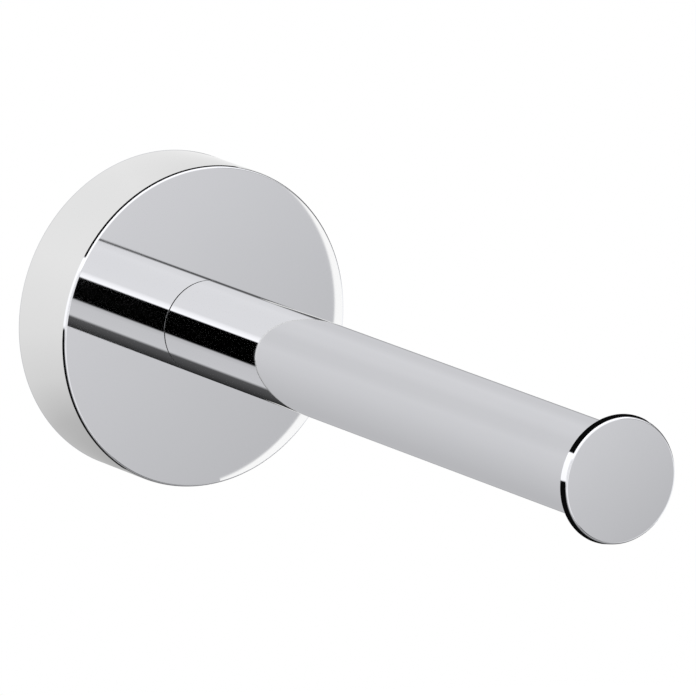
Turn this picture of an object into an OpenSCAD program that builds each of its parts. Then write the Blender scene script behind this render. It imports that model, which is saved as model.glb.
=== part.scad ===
// Wall-mounted toilet paper holder. A round, cup-shaped rosette carries one
// straight horizontal post that ends in a slightly larger thin disc. A roll is
// pushed over the disc and hangs on the post. The rosette covers a bracket that
// is screwed to the wall, and a grub screw from below locks it there.
//
// Frame: millimetres, +Z up. The wall's surface is the plane Y = 0, the post
// points along -Y, and the origin is the rosette's centre on the wall.
// Every piece is drawn with its own +Z along the post, away from the wall, and
// its own +Y up, and turned() then lays it in that frame.

/* [Rosette] */
// Outer diameter of the rosette
rosette_d = 55; // [52:0.5:65]
// Depth from the wall to the rosette's front face
rosette_depth = 15; // [14.5:0.5:20]
// Thickness of the rosette's side wall
rosette_wall = 2.2; // [1.8:0.1:2.6]
// Thickness of the rosette's front face
rosette_face = 2.6; // [2:0.1:2.8]
// Rounding of the rosette's front edge
rosette_edge = 0.3; // [0.2:0.1:1]

/* [Post] */
// Outer diameter of the post
post_d = 16; // [15:0.5:20]
// Wall thickness of the post's tube
post_wall = 1.5; // [1:0.1:2]
// Reach from the rosette's face to the outer face of the end disc
post_reach = 128; // [110:1:160]

/* [End disc] */
// Diameter of the end disc
disc_d = 21.3; // [20:0.1:26]
// Thickness of the end disc
disc_t = 1.6; // [1.6:0.1:4]
// Rounding of the disc's outer front edge
disc_front_edge = 0.5; // [0.3:0.05:0.8]
// Rounding of the disc's rear edge
disc_rear_edge = 0.2; // [0.2:0.1:0.4]
// Taper of the disc's rim, which is widest at the rear
disc_taper = 12; // [0:1:15]
// Diameter of the thread that holds the disc in the post
spigot_d = 8; // [6:1:8]
// Length of that thread
spigot_len = 8; // [5:0.5:9]

/* [Wall bracket] */
// Diameter of the wall bracket
bracket_d = 38; // [36:0.5:39]
// Depth of the bracket's rim from the wall
bracket_depth = 9; // [8:0.5:9.5]
// Thickness of the bracket's web, which the wall screws clamp
bracket_web = 3; // [2.5:0.1:3.5]
// Thickness of the bracket's rim
bracket_rim = 2.6; // [2:0.1:3]
// Distance between the two wall screws
screw_pitch = 22; // [20:0.5:24]

/* [Wall fasteners] */
// Diameter of the wall plugs
plug_d = 5; // [5:0.5:6]
// Length of the wall plugs
plug_len = 25; // [25:1:30]
// Diameter of the wall screws
wall_screw_d = 3.5; // [3:0.5:3.5]
// Length of the wall screws under the head
wall_screw_len = 25; // [20:1:26]
// Diameter of the wall screws' heads
wall_head_d = 7; // [6.5:0.1:8]
// Height of the wall screws' heads
wall_head_h = 2.4; // [2:0.1:2.8]

/* [Clamp screw] */
// Diameter of the screw that holds the post on the rosette
clamp_d = 6; // [5:1:6]
// Length of that screw under the head
clamp_len = 20; // [16:1:20]
// Diameter of its head
clamp_head_d = 10; // [9:0.5:10]
// Height of its head
clamp_head_h = 4; // [3:0.5:4]

/* [Grub screw] */
// Diameter of the locking grub screw
grub_d = 5; // [4:1:5]
// Distance of the grub screw's axis from the wall
grub_from_wall = 6; // [5.5:0.1:6.5]
// Depth that the tightened grub screw's outer end is sunk in the rosette
grub_sink = 0.5; // [0.2:0.1:1]

/* [Hidden] */
$fn = 96;
eps = 0.5;                // overlap that lets a cutter run past a face
slip = 0.02;              // radial gap of a thread or of a pressed insert
touch = 0.05;             // gap between the rosette's contact points and the bracket
grub_gap = 0.05;          // radial gap of the grub screw's thread
arc_steps = 8;            // straight steps that make up a rounded edge

rosette_r = rosette_d / 2;
cup_r = rosette_r - rosette_wall;
face_back = rosette_depth - rosette_face;
cup_fillet = 1;
post_r = post_d / 2;
bore_r = post_r - post_wall;
post_end = rosette_depth + post_reach;
disc_back = post_end - disc_t;
disc_r = disc_d / 2;
disc_edge_gap = disc_t - disc_front_edge - disc_rear_edge;
disc_face_r = disc_r - disc_rear_edge
    - (disc_front_edge - disc_rear_edge + disc_edge_gap * sin(disc_taper)) / cos(disc_taper);
bracket_r = bracket_d / 2;
bracket_lead = 0.6;       // lead-in chamfer on the bracket's front edge
contact_r = bracket_r + touch;

screw_r = wall_screw_d / 2;
screw_hole_r = screw_r + 0.25;
slot_reach = 1.25;        // sideways adjustment of the lower screw hole
relief_gap = 0.6;         // recess behind each screw hole, round the wall plug's end
relief_depth = 0.8;
plug_grip = 7;            // unslotted collar of a wall plug
plug_slot = 0.8;
plug_wall_end = 2;        // closed tip of a wall plug
washer_t = 0.8;
washer_r = 4.4;
cross_w = 0.9;            // cross recess of the wall screws
cross_len = 3.8;
cross_depth = 1.5;
point_len = 4;            // pointed end of a wall screw

flat_t = 1.2;
flat_r = 6;
lock_t = 1.6;
lock_r = 5;
lock_split = 1;
clamp_seat = face_back - flat_t - lock_t;
clamp_hex = 4;            // key sizes, across flats
clamp_hex_depth = 2.4;
grub_hex = 2.5;
grub_hex_depth = 3;
chamfer = 0.5;

insert_len = 18;
insert_blind = 2;         // metal left behind the base insert's thread
end_insert_len = 10;

boss_r = 4.4;             // boss around the grub screw
boss_gap = 1;             // from the boss to the bracket's rim
rib_t = 2.4;              // ribs that centre the rosette on the bracket
rib_spread = 55;          // angle of each rib from straight up
rib_foot = 3.5;           // distance of the ribs from the wall
straight_up = 90;

// Points of a round stretch of an outline, from angle a0 to angle a1
function arc(x, y, r, a0, a1) = [
    for (i = [0 : arc_steps])
        let (a = a0 + (a1 - a0) * i / arc_steps)
        [x + r * cos(a), y + r * sin(a)]
];

// Lays a piece that was drawn along +Z along the post's direction, -Y
module turned() {
    rotate([90, 0, 0]) children();
}

// Puts its children at both wall screws, above and below the centre
module at_wall_screws() {
    for (side = [-1, 1])
        translate([0, side * screw_pitch / 2, 0]) children();
}

// Flat ring from z = 0 up
module ring(outer_r, inner_r, height) {
    difference() {
        cylinder(r = outer_r, h = height);
        translate([0, 0, -eps]) cylinder(r = inner_r, h = height + 2 * eps);
    }
}

// Hexagonal key socket, from z = 0 down
module hex_socket(across_flats, depth) {
    translate([0, 0, -depth])
        cylinder(d = across_flats / cos(30), h = depth + eps, $fn = 6);
}

// Cylinder from z = 0 up, with a chamfered top
module chamfered_shank(r, length) {
    cylinder(r = r, h = length - chamfer);
    translate([0, 0, length - chamfer])
        cylinder(r1 = r, r2 = r - chamfer, h = chamfer);
}

// Two nylon plugs in the wall, slotted so that they spread
module wall_plugs() {
    color("gainsboro") turned() at_wall_screws() mirror([0, 0, 1]) difference() {
        cylinder(d = plug_d, h = plug_len);
        translate([0, 0, -eps])
            cylinder(r = screw_r + slip, h = plug_len - plug_wall_end + eps);
        translate([-plug_slot / 2, -plug_d, plug_grip])
            cube([plug_slot, 2 * plug_d, plug_len - plug_grip - plug_wall_end]);
    }
}

// Domed head of a wall screw, from z = 0 up, with its cross recess
module wall_screw_head() {
    head_r = wall_head_d / 2;
    difference() {
        rotate_extrude()
            polygon(concat(
                [[0, 0], [head_r, 0], [head_r, wall_head_h / 2]],
                arc(head_r - wall_head_h / 2, wall_head_h / 2, wall_head_h / 2, 0, 90),
                [[0, wall_head_h]]
            ));
        for (turn = [0, 90])
            rotate([0, 0, turn])
                translate([-cross_len / 2, -cross_w / 2, wall_head_h - cross_depth])
                    cube([cross_len, cross_w, cross_depth + eps]);
    }
}

// Two pan-head screws that hold the bracket on the wall
module wall_screws() {
    color("silver") turned() at_wall_screws()
        translate([0, 0, bracket_web + washer_t]) {
            wall_screw_head();
            mirror([0, 0, 1]) {
                cylinder(r = screw_r, h = wall_screw_len - point_len);
                translate([0, 0, wall_screw_len - point_len])
                    cylinder(r1 = screw_r, r2 = screw_r / 4, h = point_len);
            }
        }
}

// Two washers under the wall screws' heads
module screw_washers() {
    color("silver") turned() at_wall_screws()
        translate([0, 0, bracket_web]) ring(washer_r, screw_hole_r, washer_t);
}

// Shallow round cup that the rosette slides over. Its upper screw hole is
// round and its lower one is a short slot, so that the holder can be levelled.
// A recess behind each hole keeps the wall plugs' ends off the bracket's back.
module wall_bracket() {
    rim_r = bracket_r - bracket_rim;
    relief_r = plug_d / 2 + relief_gap;
    color("darkgray") turned() difference() {
        rotate_extrude()
            polygon([
                [0, 0],
                [bracket_r, 0],
                [bracket_r, bracket_depth - bracket_lead],
                [bracket_r - bracket_lead, bracket_depth],
                [rim_r, bracket_depth],
                [rim_r, bracket_web],
                [0, bracket_web]
            ]);
        translate([0, screw_pitch / 2, -eps])
            cylinder(r = screw_hole_r, h = bracket_web + 2 * eps);
        translate([0, -screw_pitch / 2, -eps]) slot(bracket_web + 2 * eps);
        translate([0, screw_pitch / 2, -eps]) cylinder(r = relief_r, h = relief_depth + eps);
        translate([0, -screw_pitch / 2, -eps])
            cylinder(r = relief_r + slot_reach, h = relief_depth + eps);
    }
}

// Short sideways slot for a wall screw, from z = 0 up
module slot(height) {
    for (side = [-1, 1])
        translate([side * slot_reach, 0, 0]) cylinder(r = screw_hole_r, h = height);
    translate([-slot_reach, -screw_hole_r, 0])
        cube([2 * slot_reach, 2 * screw_hole_r, height]);
}

// Turned cup that covers the bracket and carries the post. A boss at the
// bottom holds the grub screw, and two ribs rest on the top of the bracket.
module rosette() {
    color("lightgray") turned() difference() {
        union() {
            rosette_cup();
            grub_boss();
            for (side = [-1, 1])
                rotate([0, 0, straight_up + side * rib_spread])
                    translate([contact_r, -rib_t / 2, rib_foot])
                        cube([cup_r + rosette_wall / 2 - contact_r, rib_t, face_back - rib_foot + eps]);
        }
        translate([0, 0, grub_from_wall])
            rotate([90, 0, 0]) cylinder(d = grub_d, h = rosette_d);
    }
}

module rosette_cup() {
    rotate_extrude()
        polygon(concat(
            [[cup_r, 0], [rosette_r, 0]],
            arc(rosette_r - rosette_edge, rosette_depth - rosette_edge, rosette_edge, 0, 90),
            [[clamp_d / 2 + 2 * grub_gap, rosette_depth], [clamp_d / 2 + 2 * grub_gap, face_back]],
            arc(cup_r - cup_fillet, face_back - cup_fillet, cup_fillet, 90, 0)
        ));
}

// Rounded block between the cup's bottom and the bracket's rim
module grub_boss() {
    boss_inner = bracket_r + boss_gap;
    boss_len = cup_r + rosette_wall / 2 - boss_inner;
    translate([0, -boss_inner, grub_from_wall])
        rotate([90, 0, 0]) cylinder(r = boss_r, h = boss_len);
    translate([-boss_r, -boss_inner - boss_len, grub_from_wall])
        cube([2 * boss_r, boss_len, face_back - grub_from_wall + eps]);
}

// Socket-head screw that pulls the post onto the rosette, from inside the cup
module clamp_screw() {
    color("silver") turned() translate([0, 0, clamp_seat]) {
        chamfered_shank(clamp_d / 2, clamp_len);
        difference() {
            translate([0, 0, -clamp_head_h]) cylinder(d = clamp_head_d, h = clamp_head_h);
            translate([0, 0, -clamp_head_h]) mirror([0, 0, 1]) hex_socket(clamp_hex, clamp_hex_depth);
        }
    }
}

// Split spring washer under the clamp screw's head
module lock_washer() {
    color("silver") turned() translate([0, 0, clamp_seat]) difference() {
        ring(lock_r, clamp_d / 2 + slip, lock_t);
        translate([0, -lock_split / 2, -eps]) cube([2 * lock_r, lock_split, lock_t + 2 * eps]);
    }
}

// Plain washer between the spring washer and the rosette's face
module flat_washer() {
    color("silver") turned()
        translate([0, 0, face_back - flat_t]) ring(flat_r, clamp_d / 2 + slip, flat_t);
}

// Threaded plug in the root of the post
module base_insert() {
    color("goldenrod") turned() translate([0, 0, rosette_depth]) difference() {
        cylinder(r = bore_r - slip, h = insert_len);
        translate([0, 0, -eps])
            cylinder(r = clamp_d / 2 + slip, h = insert_len - insert_blind + eps);
    }
}

// Tube that the roll hangs on
module post_tube() {
    color("lightgray") turned()
        translate([0, 0, rosette_depth]) ring(post_r, bore_r, post_reach - disc_t);
}

// Threaded bush in the outer end of the post
module end_insert() {
    color("goldenrod") turned()
        translate([0, 0, disc_back - end_insert_len])
            ring(bore_r - slip, spigot_d / 2 + slip, end_insert_len);
}

// Disc that keeps the roll on the post, with its threaded spigot
module end_disc() {
    color("lightgray") turned() translate([0, 0, disc_back]) {
        rotate_extrude()
            polygon(concat(
                [[0, 0]],
                arc(disc_r - disc_rear_edge, disc_rear_edge, disc_rear_edge, -90, disc_taper),
                arc(disc_face_r, disc_t - disc_front_edge, disc_front_edge, disc_taper, 90),
                [[0, disc_t]]
            ));
        mirror([0, 0, 1]) chamfered_shank(spigot_d / 2, spigot_len);
    }
}

// Grub screw in the rosette's underside. Its inner end bears on the bracket.
module grub_screw() {
    grub_len = rosette_r - grub_sink - contact_r;
    color("dimgray") turned() translate([0, -rosette_r + grub_sink, grub_from_wall])
        rotate([-90, 0, 0]) difference() {
            chamfered_shank(grub_d / 2 - grub_gap, grub_len);
            mirror([0, 0, 1]) hex_socket(grub_hex, grub_hex_depth);
        }
}

wall_plugs();
wall_screws();
screw_washers();
wall_bracket();
rosette();
clamp_screw();
lock_washer();
flat_washer();
base_insert();
post_tube();
end_insert();
end_disc();
grub_screw();
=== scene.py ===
import math
import bmesh
import bpy
from mathutils import Matrix, Vector


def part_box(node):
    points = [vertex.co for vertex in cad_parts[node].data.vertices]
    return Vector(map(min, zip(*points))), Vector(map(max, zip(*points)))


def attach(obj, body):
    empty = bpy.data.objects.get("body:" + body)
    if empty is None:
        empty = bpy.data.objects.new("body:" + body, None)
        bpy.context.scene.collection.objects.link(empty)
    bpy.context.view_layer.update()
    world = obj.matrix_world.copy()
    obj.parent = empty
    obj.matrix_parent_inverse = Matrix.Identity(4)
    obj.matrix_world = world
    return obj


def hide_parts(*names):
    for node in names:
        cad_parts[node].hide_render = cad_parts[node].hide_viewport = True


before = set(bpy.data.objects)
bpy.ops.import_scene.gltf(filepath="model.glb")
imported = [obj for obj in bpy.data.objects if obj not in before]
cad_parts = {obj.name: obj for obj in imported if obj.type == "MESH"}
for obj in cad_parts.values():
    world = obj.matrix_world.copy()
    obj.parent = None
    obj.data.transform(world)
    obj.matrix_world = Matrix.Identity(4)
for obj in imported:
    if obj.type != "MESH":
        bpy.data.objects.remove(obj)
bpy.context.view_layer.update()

MM = 0.001
FULL_TURN = 2 * math.pi
SEGMENTS = 384            # round the chrome pieces, fine enough for mirror reflections


# --- The camera ---------------------------------------------------------------------------

VIEW_AZIMUTH = math.radians(-31.86)
VIEW_ELEVATION = math.radians(13.86)
VIEW_ROLL = math.radians(-0.8)
VIEW_DISTANCE = 2088 * MM
LENS_MM = 658.5
LOOK_RIGHT, LOOK_UP = -7.70 * MM, 8.06 * MM      # from the post's reference point to the frame's centre


def direction(azimuth, elevation):
    """Unit vector from the object to a viewer there; azimuth 0 is on the -Y side."""
    return Vector((math.sin(azimuth) * math.cos(elevation),
                   -math.cos(azimuth) * math.cos(elevation),
                   math.sin(elevation)))


def make_camera():
    face = -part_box("rosette")[0].y
    target = Vector((0, -face - 60 * MM, 0))
    back = direction(VIEW_AZIMUTH, VIEW_ELEVATION)
    place = target + back * VIEW_DISTANCE
    level = (-back).to_track_quat("-Z", "Y").to_matrix() @ Matrix.Rotation(VIEW_ROLL, 3, "Z")
    aim = target + level @ Vector((LOOK_RIGHT, LOOK_UP, 0))
    turn = (aim - place).to_track_quat("-Z", "Y").to_matrix() @ Matrix.Rotation(VIEW_ROLL, 3, "Z")
    data = bpy.data.cameras.new("camera")
    data.lens = LENS_MM
    data.sensor_width = 36
    data.clip_start, data.clip_end = 0.1, 50
    camera = bpy.data.objects.new("camera", data)
    camera.matrix_world = Matrix.Translation(place) @ turn.to_4x4()
    bpy.context.scene.collection.objects.link(camera)
    bpy.context.scene.camera = camera


# --- Studio -------------------------------------------------------------------------------

FLOOR_HEIGHT = -1.5         # m, low enough to look at the holder from below
DOME_RADIUS = 5.5           # m
FLOOR_COLOUR = (0.93, 0.93, 0.93, 1)
FLOOR_ROUGHNESS = 0.9
WHITE = (1, 1, 1, 1)


class Graph:
    """Short way to add nodes to a node tree."""

    def __init__(self, tree):
        self.tree = tree

    def add(self, kind, inputs=(), **settings):
        node = self.tree.nodes.new(kind)
        for key, value in settings.items():
            setattr(node, key, value)
        for key, value in dict(inputs).items():
            self.put(value, node.inputs[key])
        return node

    def put(self, value, socket):
        if isinstance(value, bpy.types.NodeSocket):
            self.tree.links.new(value, socket)
        else:
            socket.default_value = value

    def math(self, operation, a, b=0.0, c=0.0):
        return self.add("ShaderNodeMath", {0: a, 1: b, 2: c}, operation=operation).outputs[0]

    def rise(self, value, low, high, to_low=0.0, to_high=1.0):
        node = self.add("ShaderNodeMapRange", {"Value": value, "From Min": low, "From Max": high,
                                               "To Min": to_low, "To Max": to_high},
                        interpolation_type="SMOOTHSTEP")
        return node.outputs["Result"]

    def mix(self, share, a, b):
        node = self.add("ShaderNodeMix", data_type="FLOAT")
        for value, socket in zip((share, a, b), node.inputs[:1] + node.inputs[2:4]):
            self.put(value, socket)
        return node.outputs[0]


# The studio round the object: rings of soft boxes and black flags, from straight in front of
# the holder (polar angle 0) to the wall behind it (180). Each ring lists where the levels
# change on the way round it: the angle seen from the front, 0 right and 90 up, with the level.
SIDE_LEVELS = [(-180, 1.5), (-176, 1.5), (-172, 0.05), (-38, 0.1), (-32, 1.3), (-12, 1.3), (-8, 0.2),
               (36, 0.2), (48, 2.2), (148, 2.2), (152, 1.5), (180, 1.5)]
RINGS = [
    # polar angle where it starts, half width of the soft change there, levels
    (0, 0, [(-180, 0.6), (180, 0.6)]),
    (3, 1.2, [(-180, 1.4), (-60, 1.3), (0, 1.5), (90, 1.6), (180, 1.4)]),
    (32, 0.5, [(-180, 0), (-158, 0), (-155, 1.2), (-145, 1.4), (-109, 1.4), (-106, 0.9), (-101, 0.2),
               (-70, 0.1), (-31, 0), (-29, 0.9), (-7, 0.9), (-2, 0.2), (11, 0.2), (18, 1.5), (50, 1.8),
               (131, 1.9), (136, 2.3), (146, 2.7), (147, 0), (180, 0)]),
    (38, 1.5, [(-180, 1.3), (-158, 1.2), (-150, 0.4), (-112, 0.5), (-50, 0.25), (-42, 1.3), (-8, 1.3),
               (-4, 0.2), (8, 0.25), (18, 1.15), (60, 1.3), (130, 1.5), (148, 1.7), (152, 1.3),
               (180, 1.3)]),
    (50, 2, [(-180, 1.5), (-158, 1.5), (-152, 1.3), (-112, 1.2), (-106, 0.8), (-50, 0.8), (-40, 1.7),
             (-8, 1.7), (-4, 0.25), (8, 0.3), (18, 2.0), (30, 2.2), (148, 2.2), (152, 1.5), (180, 1.5)]),
    (68, 6, SIDE_LEVELS),
    (80, 1.5, [(-180, 1.2), (-172, 0.8), (-160, 0.3), (-60, 0.45), (-38, 0.5), (-32, 1.1), (-12, 1.1),
               (-8, 0.25), (20, 0.3), (36, 0.9), (48, 1.25), (100, 1.4), (148, 1.25), (165, 0.9),
               (180, 1.2)]),
    (100, 1.5, SIDE_LEVELS),
    (112, 2, [(-180, 1.6), (-176, 1.6), (-175, 0.005), (-34, 0.005), (-30, 1.2), (-12, 1.2), (-8, 0.005),
              (141, 0.005), (142, 1.7), (180, 1.6)]),
    (142, 1, [(-180, 0.95), (-120, 0.8), (-50, 0.6), (-30, 0.35), (-12, 0.35), (3, 0.75), (30, 0.85),
              (60, 1.0), (90, 1.0), (110, 0.95), (130, 0.95), (150, 1.0), (180, 0.95)]),
]
TOP_LEVEL = 3.0           # a level that no stop goes over
MATT_SHARE = 0.75         # share of the studio's light that matt surfaces get
STUDIO_TINT = (0.985, 0.99, 1.03, 1)

# The light that each flat face mirrors to the camera: the level in its middle, and how much
# that falls for one reach to the right, and for one reach down. A reach is the face's half
# width over its distance from the camera.
FACE_LIGHTS = [("rosette", 0.9), ("end_disc", 0.88)]
FACE_FALL = 0.1
SIDE_FULL, SIDE_GONE = 1.1, 1.4         # reaches to either side, where it starts to fade and is gone
HEIGHT_FULL, HEIGHT_GONE = 2, 3         # the same above and below

# The light on the wall round the rosette, in mm, and its levels round the way
WALL_LIGHT_INNER, WALL_LIGHT_OUTER = 27.6, 37.4
WALL_LIGHT = [(-180, 1.15), (-160, 1.0), (-140, 0.7), (-110, 0.5), (-60, 0.7), (0, 0.9), (65, 0.95),
              (105, 1.2), (150, 1.25), (180, 1.15)]

# The light in front of the rosette's face. CRESCENT is the centre and radius of its inner edge
# as the face shows it; all in mm, with the arc in degrees.
CRESCENT = (-2.5, 1, 28)
RIM_LIGHT_AHEAD = 40
RIM_LIGHT_INSIDE, RIM_LIGHT_OUTSIDE = 0.2, 4       # how far it reaches to either side of that edge
RIM_LIGHT_ARC = (-80, 55)
RIM_LIGHT_LEVEL = 1.55
RIM_LIGHT_SOFT = 0.5


def ramp(g, around, stops):
    """Level on the way round, from stops of (angle in degrees, level); around runs from 0 to 1."""
    node = g.add("ShaderNodeValToRGB", {"Fac": around})
    spots = node.color_ramp.elements
    while len(spots) < len(stops):
        spots.new(0.5)
    for spot, (angle, _) in zip(spots, stops):
        spot.position = angle / 360 + 0.5
    for spot, (_, level) in zip(spots, stops):
        spot.color = (level / TOP_LEVEL,) * 3 + (1,)
    return g.math("MULTIPLY", node.outputs["Color"], TOP_LEVEL)


def mirrored(node):
    """Direction from the camera to the middle of a flat face, and the face's reach. What the
    face mirrors lies in that direction with Y turned round."""
    low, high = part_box(node)
    ray = Vector((0, low.y, 0)) - bpy.context.scene.camera.location
    return ray.normalized(), (high.x - low.x) / 2 / ray.length


def make_world():
    world = bpy.data.worlds.new("studio")
    world.use_nodes = True
    bpy.context.scene.world = world
    world.node_tree.nodes.clear()
    g = Graph(world.node_tree)
    way = g.add("ShaderNodeSeparateXYZ", {0: g.add("ShaderNodeTexCoord").outputs["Generated"]})
    x, y, z = way.outputs
    polar = g.math("ARCCOSINE", g.math("MULTIPLY", y, -1.0))
    around = g.math("MULTIPLY_ADD", g.math("ARCTAN2", z, x), 0.5 / math.pi, 0.5)
    level = None
    for start, soft, stops in RINGS:
        here = ramp(g, around, stops)
        if level is None:
            level = here
        else:
            share = g.rise(polar, math.radians(start - soft), math.radians(start + soft))
            level = g.mix(share, level, here)
    # the soft box that each flat face mirrors falls off to the lower right
    for node, middle in FACE_LIGHTS:
        ray, reach = mirrored(node)
        right, up = g.math("SUBTRACT", x, ray.x), g.math("SUBTRACT", z, ray.z)
        beside = g.rise(g.math("ABSOLUTE", right), SIDE_GONE * reach, SIDE_FULL * reach)
        above = g.rise(g.math("ABSOLUTE", up), HEIGHT_GONE * reach, HEIGHT_FULL * reach)
        zone = g.math("MULTIPLY", g.math("MULTIPLY", beside, above), g.math("LESS_THAN", y, 0.0))
        fall = g.math("MULTIPLY", g.math("SUBTRACT", up, right), FACE_FALL / reach)
        level = g.mix(zone, level, g.math("ADD", fall, middle))
    # matt surfaces get the softer part of the light
    matt = g.add("ShaderNodeLightPath").outputs["Is Diffuse Ray"]
    level = g.math("MULTIPLY", level, g.math("MULTIPLY_ADD", matt, MATT_SHARE - 1, 1.0))
    light = g.add("ShaderNodeBackground", {"Color": STUDIO_TINT, "Strength": level})
    g.add("ShaderNodeOutputWorld", {"Surface": light.outputs[0]})


def make_stage():
    """A plain pale floor, and a plain white backdrop that only the camera sees."""
    bpy.ops.mesh.primitive_circle_add(vertices=128, radius=DOME_RADIUS, fill_type="NGON",
                                      location=(0, 0, FLOOR_HEIGHT))
    floor = bpy.context.object
    floor.name = "floor"
    material = bpy.data.materials.new("floor")
    material.use_nodes = True
    shader = material.node_tree.nodes["Principled BSDF"]
    shader.inputs["Base Color"].default_value = FLOOR_COLOUR
    shader.inputs["Roughness"].default_value = FLOOR_ROUGHNESS
    shader.inputs["Emission Color"].default_value = WHITE
    shader.inputs["Emission Strength"].default_value = 1.0
    floor.data.materials.append(material)
    floor.visible_glossy = False
    floor.visible_diffuse = False
    bpy.ops.mesh.primitive_uv_sphere_add(segments=64, ring_count=32, radius=DOME_RADIUS)
    dome = bpy.context.object
    dome.name = "backdrop"
    glow = bpy.data.materials.new("backdrop")
    glow.use_nodes = True
    glow.node_tree.nodes.clear()
    g = Graph(glow.node_tree)
    g.add("ShaderNodeOutputMaterial",
          {"Surface": g.add("ShaderNodeEmission", {"Strength": 1.0}).outputs[0]})
    dome.data.materials.append(glow)
    for ray in ("diffuse", "glossy", "transmission", "volume_scatter", "shadow"):
        setattr(dome, "visible_" + ray, False)
    make_wall_light()
    make_rim_light()


def light_card(name, x, y, z, inner, outer, start, end, level, soft=0.0, faces_wall=False):
    """Ring-shaped light parallel to the wall, which only reflections show, and only on the
    side that it faces. Sizes in mm, start and end in degrees round it, level as the stops of
    a ring. soft is the width of its faded inner edge."""
    mesh = bpy.data.meshes.new(name)
    count = 128
    verts, faces = [], []
    for k in range(count + 1):
        a = math.radians(start + (end - start) * k / count)
        verts += [(inner * math.cos(a) * MM, 0, inner * math.sin(a) * MM),
                  (outer * math.cos(a) * MM, 0, outer * math.sin(a) * MM)]
        if k:
            faces.append((2 * k - 2, 2 * k - 1, 2 * k + 1, 2 * k))
    mesh.from_pydata(verts, [], faces)
    if faces_wall:
        mesh.flip_normals()
    card = link(mesh, name)
    card.location = (x * MM, y * MM, z * MM)
    glow = bpy.data.materials.new(name)
    glow.use_nodes = True
    glow.node_tree.nodes.clear()
    g = Graph(glow.node_tree)
    place = g.add("ShaderNodeTexCoord").outputs["Object"]
    spot = g.add("ShaderNodeSeparateXYZ", {0: place})
    angle = g.math("ARCTAN2", spot.outputs[2], spot.outputs[0])
    around = g.math("MULTIPLY_ADD", angle, 0.5 / math.pi, 0.5)
    light = g.add("ShaderNodeEmission", {"Color": WHITE, "Strength": ramp(g, around, level)}).outputs[0]
    share = g.math("SUBTRACT", 1.0, g.add("ShaderNodeNewGeometry").outputs["Backfacing"])
    if soft:
        away = g.add("ShaderNodeVectorMath", {0: place}, operation="LENGTH").outputs["Value"]
        share = g.math("MULTIPLY", share, g.rise(away, inner * MM, (inner + soft) * MM))
    clear = g.add("ShaderNodeBsdfTransparent").outputs[0]
    shown = g.add("ShaderNodeMixShader", {0: share, 1: clear, 2: light}).outputs[0]
    g.add("ShaderNodeOutputMaterial", {"Surface": shown})
    mesh.materials.append(glow)
    for ray in ("camera", "diffuse", "transmission", "volume_scatter", "shadow"):
        setattr(card, "visible_" + ray, False)
    return card


def make_wall_light():
    """Light on the wall right round the rosette, which its polished side shows."""
    return light_card("wall_light", 0, 0, 0, WALL_LIGHT_INNER, WALL_LIGHT_OUTER, -180, 180, WALL_LIGHT)


def make_rim_light():
    """Narrow light that the rosette's face shows as a bright crescent along its right edge."""
    eye = bpy.context.scene.camera.location / MM
    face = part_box("rosette")[0].y / MM
    slope_x, slope_z = eye.x / (face - eye.y), eye.z / (face - eye.y)
    grow = 1 + RIM_LIGHT_AHEAD / (face - eye.y)
    centre_x, centre_z, edge = CRESCENT
    return light_card("rim_light", centre_x * grow - RIM_LIGHT_AHEAD * slope_x, face - RIM_LIGHT_AHEAD,
                      centre_z * grow - RIM_LIGHT_AHEAD * slope_z, (edge - RIM_LIGHT_INSIDE) * grow,
                      (edge + RIM_LIGHT_OUTSIDE) * grow, *RIM_LIGHT_ARC,
                      [(-180, RIM_LIGHT_LEVEL), (180, RIM_LIGHT_LEVEL)], RIM_LIGHT_SOFT, faces_wall=True)


# --- Meshes -------------------------------------------------------------------------------
#
# Pieces are drawn in mm in a frame of their own, with +Z away from the wall and +Y up, as
# the CAD draws them, and TURNED lays them in the row frame. Each corner of a mesh carries
# the surface's true normal in an attribute, which stays with it through the booleans.

TURNED = Matrix.Rotation(math.radians(90), 4, "X")
TRUE_NORMAL = "true_normal"
SHARP = math.radians(30)
THREAD_STEPS = 8          # rings to each turn of a thread
SAME_POINT = 1e-6         # points of an outline that are nearer than this are one, mm
CORNER_ROOM = 0.4         # least gap beside a ring's corner, as a share of the even spacing
WELD_GAP = 0.002 * MM
SLIVER = 0.001 * MM


def link(mesh, name):
    obj = bpy.data.objects.new(name, mesh)
    bpy.context.scene.collection.objects.link(obj)
    return obj


def at(x, y, z):
    """Place of a piece whose own origin is there, in mm."""
    return TURNED @ Matrix.Translation((x, y, z))


def keep_normals(mesh, normals):
    mesh.attributes.new(TRUE_NORMAL, "FLOAT_VECTOR", "CORNER")
    values = [part for normal in normals for part in normal]
    mesh.attributes[TRUE_NORMAL].data.foreach_set("vector", values)


def use_normals(piece):
    """Shades a finished piece with the normals that its corners carry."""
    mesh = piece.data
    carried = mesh.attributes[TRUE_NORMAL].data
    normals = []
    for face in mesh.polygons:
        for corner in face.loop_indices:
            normal = carried[corner].vector.normalized()
            normals.append(-normal if normal.dot(face.normal) < 0 else normal)
    mesh.attributes.remove(mesh.attributes[TRUE_NORMAL])
    mesh.polygons.foreach_set("use_smooth", [True] * len(mesh.polygons))
    mesh.normals_split_custom_set(normals)
    mesh.update()


def weld(mesh):
    """Closes the hairline slivers that a boolean leaves."""
    shape = bmesh.new()
    shape.from_mesh(mesh)
    bmesh.ops.remove_doubles(shape, verts=shape.verts, dist=WELD_GAP)
    bmesh.ops.dissolve_degenerate(shape, edges=shape.edges, dist=SLIVER)
    shape.to_mesh(mesh)
    shape.free()


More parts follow.
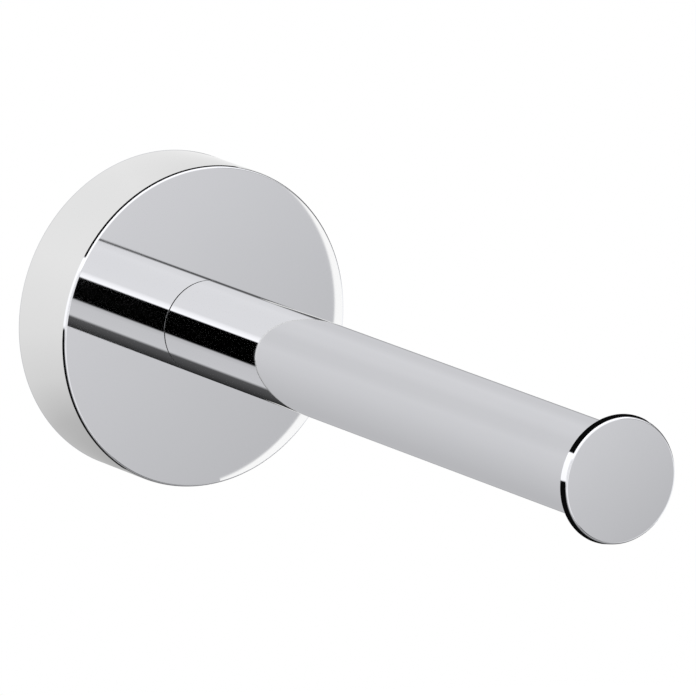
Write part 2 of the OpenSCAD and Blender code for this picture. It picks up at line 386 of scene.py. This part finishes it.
def combine(piece, operation, *others):
    """Joins other bodies to a piece ("UNION") or cuts them out of it ("DIFFERENCE")."""
    for other in others:
        step = piece.modifiers.new("step", "BOOLEAN")
        step.object, step.operation, step.solver = other, operation, "EXACT"
    bpy.context.view_layer.update()
    evaluated = piece.evaluated_get(bpy.context.evaluated_depsgraph_get())
    result = bpy.data.meshes.new_from_object(evaluated)
    piece.modifiers.clear()
    weld(result)
    old = piece.data
    piece.data = result
    result.name = piece.name
    bpy.data.meshes.remove(old)
    for other in others:
        bpy.data.meshes.remove(other.data)
    return piece


# Bodies of revolution with exact normals, for the polished pieces


def arc(x, y, radius, start, end, steps=12):
    """Points and outward normals of a round stretch of an outline, angles in degrees."""
    angles = [math.radians(start + (end - start) * i / steps) for i in range(steps + 1)]
    return [(x + radius * math.cos(a), y + radius * math.sin(a), math.cos(a), math.sin(a)) for a in angles]


def hollow(stretch):
    """The same round stretch as an inside corner."""
    return [(x, y, -nx, -ny) for x, y, nx, ny in stretch]


def line(x0, y0, x1, y1):
    """A straight stretch; the outward normal is on the right of its direction."""
    length = math.hypot(x1 - x0, y1 - y0)
    nx, ny = (y1 - y0) / length, (x0 - x1) / length
    return [(x0, y0, nx, ny), (x1, y1, nx, ny)]


def point_key(point):
    """Key under which a point of an outline is found again."""
    return round(point[0], 5), round(point[1], 5)


def lathe(name, stretches, segments=SEGMENTS):
    """Body of revolution about the post's axis. Each stretch is a list of points
    (radius, distance from the wall, normal), counter-clockwise round the section."""
    points = []
    for stretch in stretches:
        for p in stretch:
            if not points or math.dist(p[:2], points[-1]) > SAME_POINT:
                points.append(p[:2])
    if math.dist(points[0], points[-1]) < SAME_POINT:
        points.pop()
    index = {point_key(p): i for i, p in enumerate(points)}
    on_axis = [i for i, p in enumerate(points) if p[0] < SAME_POINT]
    verts, first = [], {}
    for i, (r, d) in enumerate(points):
        first[i] = len(verts)
        for k in range(1 if i in on_axis else segments):
            a = FULL_TURN * k / segments
            verts.append((r * math.cos(a) * MM, -d * MM, r * math.sin(a) * MM))

    def corner(i, k, n):
        a = FULL_TURN * k / segments
        v = first[i] + (0 if i in on_axis else k % segments)
        return v, (n[0] * math.cos(a), -n[1], n[0] * math.sin(a))

    faces, normals = [], []
    for stretch in stretches:
        for p, q in zip(stretch, stretch[1:]):
            i, j = index[point_key(p)], index[point_key(q)]
            if i in on_axis and j in on_axis:
                continue
            for k in range(segments):
                loop = [corner(i, k, p[2:]), corner(i, k + 1, p[2:]),
                        corner(j, k + 1, q[2:]), corner(j, k, q[2:])]
                if i in on_axis:
                    loop.pop(1)
                elif j in on_axis:
                    loop.pop(2)
                faces.append([v for v, _ in loop])
                normals += [n for _, n in loop]
    mesh = bpy.data.meshes.new(name)
    mesh.from_pydata(verts, [], faces)
    keep_normals(mesh, normals)
    return link(mesh, name)


# Bodies from rings of points, for the fasteners and castings


def round_angles(count, *corners):
    """Angles round a ring, evenly spaced, with the given corners in place of their neighbours."""
    even = [FULL_TURN * k / count for k in range(count)]
    room = CORNER_ROOM * even[1]

    def is_free(angle):
        return all(abs((angle - corner + math.pi) % FULL_TURN - math.pi) > room for corner in corners)

    return sorted([a for a in even if is_free(a)] + [corner % FULL_TURN for corner in corners])


def ring(radius, height, angles):
    """Ring of points; the radius is a number or a function of the angle."""
    reach = radius if callable(radius) else lambda a: radius
    return [(reach(a) * math.cos(a), reach(a) * math.sin(a), height) for a in angles]


def turned_rings(outline, angles):
    return [ring(radius, height, angles) for radius, height in outline]


def skin(name, rings, place, closed=False):
    """Body between rings that have the same number of points. A closed one goes on from the
    last ring to the first, and any other is capped at both ends."""
    count = len(rings[0])
    verts = [p for points in rings for p in points]
    pairs = list(zip(range(len(rings)), range(1, len(rings))))
    if closed:
        pairs.append((len(rings) - 1, 0))
    faces = []
    for i, j in pairs:
        for k in range(count):
            after = (k + 1) % count
            faces.append((i * count + k, i * count + after, j * count + after, j * count + k))
    if not closed:
        for i in (0, len(rings) - 1):
            verts.append(tuple(sum(p[axis] for p in rings[i]) / count for axis in range(3)))
            faces += [(len(verts) - 1, i * count + k, i * count + (k + 1) % count) for k in range(count)]
    mesh = bpy.data.meshes.new(name)
    mesh.from_pydata(verts, [], faces)
    mesh.transform(Matrix.Scale(MM, 4) @ place)
    shape = bmesh.new()
    shape.from_mesh(mesh)
    bmesh.ops.recalc_face_normals(shape, faces=shape.faces)
    shape.to_mesh(mesh)
    shape.free()
    mesh.polygons.foreach_set("use_smooth", [True] * len(mesh.polygons))
    mesh.set_sharp_from_angle(angle=SHARP)
    keep_normals(mesh, [tuple(normal.vector) for normal in mesh.corner_normals])
    return link(mesh, name)


def thread(radius, depth, pitch, start, end, angles, crest=0.12, root=0.2):
    """Rings of a right-hand thread from start to end. It fades out over its first and last
    turn. radius is a number or a function of the height. A negative depth cuts an inner
    thread. crest and root are the flats' shares of the pitch."""
    steps = round(abs(end - start) / pitch * THREAD_STEPS)
    rings = []
    for i in range(steps + 1):
        height = start + (end - start) * i / steps
        reach = radius(height) if callable(radius) else radius
        cut = depth * min(1, i / THREAD_STEPS, (steps - i) / THREAD_STEPS)

        def outline(a, height=height, reach=reach, cut=cut):
            from_crest = 0.5 - abs((height / pitch - a / FULL_TURN) % 1 - 0.5)
            share = (from_crest - crest / 2) / (0.5 - crest / 2 - root / 2)
            return reach - cut * min(1, max(0, share))

        rings.append(ring(outline, height, angles))
    return rings


def hexagon(across):
    """Outline of a key socket of that size across flats."""
    return lambda a: across / 2 / math.cos(a % math.radians(60) - math.radians(30))


def cross(width, length):
    """Outline of a cross recess with arms of that width, and length from tip to tip."""
    def outline(a):
        off = a % math.radians(90)
        off = min(off, math.radians(90) - off)
        if math.tan(off) <= width / length:
            return length / 2 / math.cos(off)
        return width / 2 / math.sin(off)
    return outline


def cross_corners(width, length):
    half = math.atan2(width, length)
    return [math.radians(90 * arm) + side * half for arm in range(4) for side in (-1, 1)]


def knurl(radius, depth, count):
    """Outline with count grooves cut into it."""
    return lambda a: radius - depth * abs(a * count / FULL_TURN % 1 * 2 - 1)


def washer(name, inner, outer, low, high, y=0):
    """Stamped washer: rounded on one side, with a fine burr chamfer on the other."""
    soft, burr = 0.2, 0.06
    outline = [(outer - soft + p[0], high - soft + p[1]) for p in arc(0, 0, soft, 0, 90, 4)]
    outline += [(inner + soft - p[0], high - soft + p[1]) for p in arc(0, 0, soft, 90, 0, 4)]
    outline += [(inner, low + burr), (inner + burr, low), (outer - burr, low), (outer, low + burr)]
    return skin(name, turned_rings(outline, round_angles(96)), at(0, y, 0), closed=True)


def cad(node):
    """Radius and near and far distance from the wall of a CAD node, in mm."""
    low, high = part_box(node)
    return (high.x - low.x) / 2 / MM, -high.y / MM, -low.y / MM


def screw_height():
    """Height of the upper wall screw over the post's axis, in mm; the lower one mirrors it."""
    low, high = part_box("wall_screws")
    return (high.z - low.z - (high.x - low.x)) / 2 / MM


# --- Materials ----------------------------------------------------------------------------


def start_material(name):
    material = bpy.data.materials.new(name)
    material.use_nodes = True
    g = Graph(material.node_tree)
    shader = material.node_tree.nodes["Principled BSDF"]
    return material, g, shader, g.add("ShaderNodeTexCoord").outputs["Object"]


def noise(g, place, size, detail=3.0):
    """Noise with features of that size in mm."""
    node = g.add("ShaderNodeTexNoise", {"Vector": place, "Scale": 1 / (size * MM), "Detail": detail})
    return node.outputs["Fac"]


def blend(g, share, a, b):
    """Colour between a and b."""
    node = g.add("ShaderNodeMix", data_type="RGBA")
    sockets = (node.inputs[0], node.inputs[6], node.inputs[7])
    for value, socket in zip((share, (*a, 1), (*b, 1)), sockets):
        g.put(value, socket)
    return node.outputs[2]


def bump(g, height, depth, under=None):
    """Relief of that depth in mm, over another relief if there is one."""
    inputs = {"Height": height, "Distance": depth * MM, "Strength": 1.0}
    if under is not None:
        inputs["Normal"] = under
    return g.add("ShaderNodeBump", inputs).outputs["Normal"]


def make_chrome():
    """Mirror plating: a trace of haze where it was wiped, and fine polishing lines in it."""
    material, g, shader, place = start_material("chrome")
    haze = g.rise(noise(g, place, 18), 0.3, 0.75)
    lines = g.add("ShaderNodeMapping", {"Vector": place, "Rotation": (0.5, 0.3, 0.2),
                                        "Scale": (1, 30, 1)})
    fine = g.rise(noise(g, lines.outputs[0], 6, 1.0), 0.62, 0.75)
    rough = g.math("ADD", g.mix(haze, 0.027, 0.034), g.math("MULTIPLY", fine, 0.004))
    g.put(blend(g, haze, (0.612, 0.612, 0.612), (0.606, 0.607, 0.608)), shader.inputs["Base Color"])
    g.put(rough, shader.inputs["Roughness"])
    shader.inputs["Metallic"].default_value = 1
    return material


def make_metal(name, dark, light, rough, patch, grain, turning=None):
    """Metal whose tint and roughness drift between two values over patches of that size, with
    a grain given as (size, depth). turning is the spacing and depth of a lathe's grooves
    round the post's axis. All sizes in mm."""
    material, g, shader, place = start_material(name)
    drift = g.rise(noise(g, place, patch), 0.3, 0.7)
    fine = noise(g, place, grain[0], 2.0)
    g.put(blend(g, drift, dark, light), shader.inputs["Base Color"])
    smooth, dull = rough
    wanted = g.mix(g.math("MULTIPLY_ADD", fine, 0.5, g.math("MULTIPLY", drift, 0.5)), smooth, dull)
    g.put(wanted, shader.inputs["Roughness"])
    relief = bump(g, fine, grain[1])
    if turning:
        spacing, depth = turning
        grooves = g.add("ShaderNodeTexWave", {"Vector": place, "Scale": math.pi / 10 / (spacing * MM),
                                              "Distortion": 1.2, "Detail": 2.0, "Detail Scale": 3.0},
                        wave_type="RINGS", rings_direction="Y")
        relief = bump(g, grooves.outputs["Fac"], depth, relief)
    g.put(relief, shader.inputs["Normal"])
    shader.inputs["Metallic"].default_value = 1
    return material


def make_casting():
    return make_metal("zinc_casting", dark=(0.40, 0.41, 0.425), light=(0.60, 0.61, 0.62),
                      rough=(0.38, 0.60), patch=5, grain=(0.35, 0.04))


def make_plated_inside():
    """The cup's inside: cast skin under a thin, dull layer of the plating."""
    return make_metal("plated_casting", dark=(0.46, 0.465, 0.475), light=(0.60, 0.605, 0.61),
                      rough=(0.26, 0.42), patch=7, grain=(0.5, 0.03), turning=(0.8, 0.004))


def make_plated_steel():
    return make_metal("zinc_plated_steel", dark=(0.50, 0.53, 0.58), light=(0.70, 0.70, 0.66),
                      rough=(0.20, 0.36), patch=2.5, grain=(0.12, 0.006))


def make_stainless():
    return make_metal("stainless_steel", dark=(0.46, 0.45, 0.44), light=(0.58, 0.57, 0.56),
                      rough=(0.20, 0.34), patch=2, grain=(0.10, 0.005))


def make_brass():
    return make_metal("brass", dark=(0.60, 0.40, 0.16), light=(0.80, 0.60, 0.28),
                      rough=(0.20, 0.36), patch=4, grain=(0.10, 0.004), turning=(0.25, 0.006))


def make_nylon():
    """Moulded nylon: milky, slightly blotched, with a fine spark-eroded texture."""
    material, g, shader, place = start_material("nylon")
    blotch = g.rise(noise(g, place, 4), 0.3, 0.7)
    texture = noise(g, place, 0.25, 2.0)
    g.put(blend(g, blotch, (0.70, 0.70, 0.665), (0.80, 0.80, 0.775)), shader.inputs["Base Color"])
    g.put(g.rise(texture, 0.3, 0.7, 0.42, 0.58), shader.inputs["Roughness"])
    g.put(bump(g, texture, 0.015), shader.inputs["Normal"])
    shader.inputs["Subsurface Weight"].default_value = 0.2
    shader.inputs["Subsurface Radius"].default_value = (0.8, 0.8, 0.7)
    shader.inputs["Subsurface Scale"].default_value = 1 * MM
    return material


def finish_piece(piece, node, body, slot, *materials):
    """Shades a piece, dresses it and lets it stand for its CAD node."""
    use_normals(piece)
    for material in materials:
        piece.data.materials.append(material)
    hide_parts(node)
    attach(piece, body)
    return piece


# --- Holder -------------------------------------------------------------------------------

ROSETTE_WALL, ROSETTE_FACE = 2.2, 2.6     # thickness of the side and of the face, mm
CUP_FILLET = 1            # inside, where the side meets the face
HOLE_R = 3.1              # hole for the clamp screw, under the post
ROOT_EDGE = 0.03          # radius of the post's edge beside the undercut at its root


def make_rosette(chrome, inside):
    r, near, far = cad("rosette")
    cup_r, back = r - ROSETTE_WALL, far - ROSETTE_FACE
    edge, lean, lean_len = 0.3, 12, 0.45      # tight front edge with a narrow lean behind it
    side_in = lean_len * math.sin(math.radians(lean))
    corner_r = r - side_in - edge * math.cos(math.radians(lean))
    corner = arc(corner_r, far - edge, edge, lean, 90, 12)
    lean_end = corner[0][1] - lean_len * math.cos(math.radians(lean))
    rosette = lathe("rosette_shell", [
        line(cup_r, near, r, near),
        line(r, near, r, lean_end),
        line(r, lean_end, *corner[0][:2]),
        corner,
        line(corner_r, far, HOLE_R, far),
        line(HOLE_R, far, HOLE_R, back),
        line(HOLE_R, back, cup_r - CUP_FILLET, back),
        hollow(arc(cup_r - CUP_FILLET, back - CUP_FILLET, CUP_FILLET, 90, 0, 8)),
        line(cup_r, back - CUP_FILLET, cup_r, near),
    ])
    grub_low, grub_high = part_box("grub_screw")
    hole_z = -(grub_low.y + grub_high.y) / 2 / MM
    into_wall = cup_r + ROSETTE_WALL / 2
    combine(rosette, "UNION", make_boss(hole_z, into_wall, back),
            *[make_rib(side, into_wall, back) for side in (-1, 1)])
    hole_r, flare = 2.5, 0.35
    outline = [(hole_r, r / 2), (hole_r, r - flare), (hole_r + 3 * flare, r + 2 * flare)]
    downwards = at(0, 0, hole_z) @ Matrix.Rotation(math.radians(90), 4, "X")
    combine(rosette, "DIFFERENCE", skin("hole", turned_rings(outline, round_angles(96)), downwards))
    finish_piece(rosette, "rosette", "holder", "chrome", chrome, inside)
    for face in rosette.data.polygons:
        spot = face.center / MM
        hidden = math.hypot(spot.x, spot.z) < into_wall and -spot.y < far - 1
        face.material_index = int(hidden)


def make_boss(hole_z, into_wall, back):
    """Block round the grub screw: half round towards the wall, straight up to the face."""
    boss_r, gap = 4.4, 1
    inner = cad("wall_bracket")[0] + gap
    half = [(p[0], p[1]) for p in arc(0, hole_z, boss_r, 180, 360, 32)]
    outline = half + [(boss_r, back + 0.5), (-boss_r, back + 0.5)]
    rings = [[(x * share, -y, z) for x, z in outline]
             for y, share in ((inner, 0.95), (inner + 0.25, 1), (into_wall, 1))]
    return skin("boss", rings, at(0, 0, 0))


def make_rib(side, into_wall, back):
    """Rib that rests on the bracket's rim, with a lead-in at its wall end."""
    spread, half, foot, lead = 55, 1.2, 3.5, 0.6
    touch = cad("wall_bracket")[0] + 0.05
    outline = [(touch + lead, foot), (into_wall, foot), (into_wall, back + 0.5), (touch, back + 0.5),
               (touch, foot + lead)]
    rings = [[(x, y, z) for x, z in outline] for y in (-half, half)]
    return skin("rib", rings, TURNED @ Matrix.Rotation(math.radians(90 + side * spread), 4, "Z"))


def make_post(chrome):
    """Tube, with a fine undercut at its root that shows as a dark line on the rosette."""
    r, near, far = cad("post_tube")
    bore, ease, undercut, undercut_len = r - 1.5, 0.2, 0.5, 0.15
    post = lathe("post", [
        line(bore, near, r - undercut, near),
        line(r - undercut, near, r - undercut, near + undercut_len),
        line(r - undercut, near + undercut_len, r - ROOT_EDGE, near + undercut_len),
        arc(r - ROOT_EDGE, near + undercut_len + ROOT_EDGE, ROOT_EDGE, -90, 0, 3),
        line(r, near + undercut_len + ROOT_EDGE, r, far),
        line(r, far, bore + ease, far),
        line(bore + ease, far, bore, far - ease),
        line(bore, far - ease, bore, near),
    ])
    finish_piece(post, "post_tube", "holder", "chrome", chrome)


def make_end_disc(chrome):
    r, near, far = cad("end_disc")
    thick, front, rear, taper = 1.6, 0.35, 0.2, 12
    lean = math.radians(taper)
    face_r = r - rear - (front - rear + (thick - front - rear) * math.sin(lean)) / math.cos(lean)
    rear_arc = arc(r - rear, far - thick + rear, rear, -90, taper, 8)
    front_arc = arc(face_r, far - front, front, taper, 90, 16)
    disc = lathe("disc", [
        line(0, far - thick, r - rear, far - thick),
        rear_arc,
        line(*rear_arc[-1][:2], *front_arc[0][:2]),
        front_arc,
        line(face_r, far, 0, far),
    ])
    spigot_r, pitch = 4, 1.25
    angles = round_angles(64)
    rings = turned_rings([(spigot_r - 0.8, near)], angles)
    rings += thread(spigot_r, 0.68, pitch, near + 0.6, far - thick - 0.3, angles)
    rings += turned_rings([(spigot_r - 0.3, far - thick + 0.4)], angles)
    combine(disc, "UNION", skin("spigot", rings, TURNED))
    finish_piece(disc, "end_disc", "holder", "chrome", chrome)


def make_inserts(brass):
    """Brass plug in the post's root and brass bush in its end, knurled to grip the tube."""
    angles = round_angles(96)
    r, near, far = cad("base_insert")
    bore, blind, grooves = 3.02, 2, knurl(r, 0.12, 48)
    rings = turned_rings([(bore - 1.8, far - blind), (bore, far - blind - 0.9)], angles)
    rings += thread(bore, -0.45, 1, far - blind - 1, near + 0.5, angles)
    rings += turned_rings([(bore + 0.45, near), (r - 0.3, near), (r, near + 0.3), (r, near + 1.9)], angles)
    rings += turned_rings([(grooves, near + 2), (grooves, near + 7), (r, near + 7.1), (r, far - 7.1)], angles)
    rings += turned_rings([(grooves, far - 7), (grooves, far - 2), (r, far - 1.9), (r, far - 0.3),
                           (r - 0.3, far)], angles)
    finish_piece(skin("root_plug", rings, TURNED), "base_insert", "holder", "brass", brass)
    r, near, far = cad("end_insert")
    bore, grooves = 4.02, knurl(r, 0.12, 48)
    rings = turned_rings([(r, far - 0.3), (r, far - 1.9), (grooves, far - 2), (grooves, near + 2),
                          (r, near + 1.9), (r, near + 0.3), (r - 0.3, near), (bore + 0.5, near)], angles)
    rings += thread(bore, -0.55, 1.25, near + 0.5, far - 0.5, angles)
    rings += turned_rings([(bore + 0.5, far), (r - 0.3, far)], angles)
    finish_piece(skin("end_bush", rings, TURNED, closed=True), "end_insert", "holder", "brass", brass)


def make_clamp_screw(steel):
    """Socket-head cap screw with a knurled head that faces the wall."""
    head_r, low, tip = cad("clamp_screw")
    head_h, shank_r, key, key_depth = 4, 3, 4, 2.4
    seat = low + head_h
    angles = round_angles(144)
    grip = knurl(head_r, 0.15, 48)
    rings = turned_rings([(hexagon(key), low + key_depth), (hexagon(key), low + 0.35),
                          (key / 2 + 0.38, low), (head_r - 0.5, low), (head_r - 0.15, low + 0.35),
                          (grip, low + 0.5), (grip, seat - 0.6), (head_r - 0.15, seat - 0.45),
                          (head_r - 0.3, seat), (shank_r + 0.02, seat)], angles)
    rings += thread(shank_r, 0.6, 1, seat + 0.3, tip - 0.4, angles)
    rings += turned_rings([(shank_r - 0.5, tip)], angles)
    finish_piece(skin("cap_screw", rings, TURNED), "clamp_screw", "holder", "zinc_plated_steel", steel)


def make_lock_washer(steel):
    """Split spring washer, cut on a slant."""
    outer, low, high = cad("lock_washer")
    inner, ease, split, slant, steps = 3.02, 0.12, 0.14, 0.06, 96
    section = [(outer - ease, low), (outer, low + ease), (outer, high - ease), (outer - ease, high),
               (inner + ease, high), (inner, high - ease), (inner, low + ease), (inner + ease, low)]
    middle = (low + high) / 2
    rings = []
    for i in range(steps + 1):
        a = split + (FULL_TURN - 2 * split) * i / steps
        turns = [a + slant * (z - middle) for _, z in section]
        rings.append([(r * math.cos(t), r * math.sin(t), z) for (r, z), t in zip(section, turns)])
    finish_piece(skin("spring_washer", rings, TURNED), "lock_washer", "holder", "zinc_plated_steel", steel)


def make_holder(chrome, inside, brass, steel):
    make_rosette(chrome, inside)
    make_post(chrome)
    make_end_disc(chrome)
    make_inserts(brass)
    make_clamp_screw(steel)
    make_lock_washer(steel)
    outer, low, high = cad("flat_washer")
    flat = washer("plain_washer", 3.02, outer, low, high)
    finish_piece(flat, "flat_washer", "holder", "zinc_plated_steel", steel)


# --- Wall fixing --------------------------------------------------------------------------


def make_bracket(casting):
    """Cast cup with soft edges. The upper screw hole is round and the lower one a slot, each
    with a recess behind it for the wall plug's end."""
    r, near, far = cad("wall_bracket")
    web, rim, lead, fillet, ease, burr = 3, 2.6, 0.6, 0.8, 0.25, 0.2
    rim_r = r - rim
    outline = [(1, near), (r - ease, near), (r, near + ease), (r, far - lead), (r - lead, far),
               (rim_r + ease, far), (rim_r, far - ease)]
    outline += [(p[0], p[1]) for p in arc(rim_r - fillet, web + fillet, fillet, 0, -90, 8)]
    outline += [(1, web)]
    bracket = skin("bracket", turned_rings(outline, round_angles(192)), TURNED)
    up, hole_r, reach, relief_r, relief = screw_height(), 2.0, 1.25, 3.1, 0.8

    def outline_at(radius, length, z):
        """Ring of a round hole, or of a sideways slot whose ends are centred that length out."""
        half = [math.radians(-90 + 180 * i / 24) for i in range(25)]
        if not length:
            return ring(radius, z, round_angles(48))
        return ([(length + radius * math.cos(a), radius * math.sin(a), z) for a in half]
                + [(-length - radius * math.cos(a), -radius * math.sin(a), z) for a in half])

    def cutter(y, radius, length, low, high, flare=0.0):
        rings = [outline_at(radius, length, low), outline_at(radius, length, high - flare)]
        if flare:
            rings += [outline_at(radius + 2 * flare, length, high + flare)]
        return skin("cutter", rings, at(0, y, 0))

    combine(bracket, "DIFFERENCE",
            cutter(up, hole_r, 0, -1, web, burr), cutter(-up, hole_r, reach, -1, web, burr),
            cutter(up, relief_r, 0, -1, relief), cutter(-up, relief_r, reach, -1, relief))
    finish_piece(bracket, "wall_bracket", "wall_fixing", "zinc_casting", casting)


def wall_screw(name, y):
    """Pan-head tapping screw with a cross recess and a threaded point."""
    head_r, tip, top = cad("wall_screws")
    head_h, round_r, shank_r, point_len, pitch = 2.4, 1.2, 1.75, 4, 1.3
    seat = top - head_h
    wide, narrow = (0.9, 3.8), (0.5, 2.1)
    angles = round_angles(72, *cross_corners(*wide))
    rings = turned_rings([(cross(*narrow), top - 1.4), (cross(*wide), top)], angles)
    rings += turned_rings([p[:2] for p in arc(head_r - round_r, top - round_r, round_r, 88, 0, 8)], angles)
    rings += turned_rings([(head_r, seat + 0.1), (head_r - 0.1, seat), (shank_r + 0.1, seat)], angles)

    def slim(z):
        return shank_r * min(1, 0.07 + 0.93 * (z - tip) / point_len)

    rings += thread(slim, 0.42, pitch, seat - 0.15, tip + point_len, angles, 0.05, 0.5)
    rings += thread(slim, 0.10, pitch, tip + point_len - 0.05, tip, angles, 0.05, 0.5)
    return skin(name, rings, at(0, y, 0))


def wall_plug(name, y):
    """Nylon plug: plain collar, barbs that lean towards the mouth, two fins against turning,
    and a slot through the part that spreads. Heights are depths in the wall."""
    r, near, _ = cad("wall_plugs")
    deep = -near
    root, bore, slot, grip, end_wall, barb = r - 0.3, 1.77, 0.8, 7, 2, 1.7
    angles = round_angles(96)

    def finned(radius):
        return lambda a: r if abs(math.sin(a)) < 0.12 else radius

    outline = [(bore - 1.2, deep - end_wall), (bore, deep - end_wall - 1), (bore, 0.4), (bore + 0.3, 0),
               (r - 0.15, 0), (r, 0.15), (r, 1.2)]
    rings = turned_rings(outline, angles)
    spot = 1.3
    while spot + barb < deep - 3:
        rings += turned_rings([(finned(root), spot), (finned(root), spot + 0.3),
                               (finned(r - 0.02), spot + barb - 0.1)], angles)
        spot += barb
    rings += turned_rings([(root, spot), (root - 0.15, deep - 0.8), (root - 0.8, deep)], angles)
    place = at(0, y, 0) @ Matrix.Rotation(math.pi, 4, "Y")
    plug = skin(name, rings, place)
    half = slot / 2
    square = [(-half, -2 * r), (half, -2 * r), (half, 2 * r), (-half, 2 * r)]
    cut = [[(x, v, z) for x, v in square] for z in (grip, deep - end_wall)]
    return combine(plug, "DIFFERENCE", skin("slot", cut, place))


def make_wall_fixing(casting, steel, nylon):
    make_bracket(casting)
    outer, low, high = cad("screw_washers")
    for name, y in (("upper", screw_height()), ("lower", -screw_height())):
        finish_piece(wall_screw("wall_screw_" + name, y), "wall_screws", "wall_fixing",
                     "zinc_plated_steel", steel)
        finish_piece(washer("screw_washer_" + name, 2.0, outer, low, high, y), "screw_washers",
                     "wall_fixing", "zinc_plated_steel", steel)
        finish_piece(wall_plug("wall_plug_" + name, y), "wall_plugs", "wall_fixing", "nylon", nylon)


# --- Grub screw ---------------------------------------------------------------------------


def make_grub_screw(stainless):
    """Hexagon-socket grub screw with a cup point, drawn from its outer end inwards."""
    low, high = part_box("grub_screw")
    r, length = (high.x - low.x) / 2 / MM, (high.z - low.z) / MM
    key, key_depth, ease, cup = 2.5, 3, 0.45, 0.5
    angles = round_angles(72)
    rings = turned_rings([(hexagon(key), key_depth), (hexagon(key), 0.25), (key / 2 + 0.25, 0),
                          (r - ease, 0)], angles)
    rings += thread(r, 0.43, 0.8, ease, length - 0.9, angles)
    rings += turned_rings([(r - 0.9, length), (r - 1.1, length), (0.2, length - cup)], angles)
    centre = at(0, low.z / MM, -(low.y + high.y) / 2 / MM)
    place = centre @ Matrix.Rotation(math.radians(-90), 4, "X")
    finish_piece(skin("set_screw", rings, place), "grub_screw", "grub_screw", "stainless_steel", stainless)


bpy.context.scene.view_settings.view_transform = "Standard"
make_camera()
make_world()
make_stage()
steel = make_plated_steel()
make_holder(make_chrome(), make_plated_inside(), make_brass(), steel)
make_wall_fixing(make_casting(), steel, make_nylon())
make_grub_screw(make_stainless())
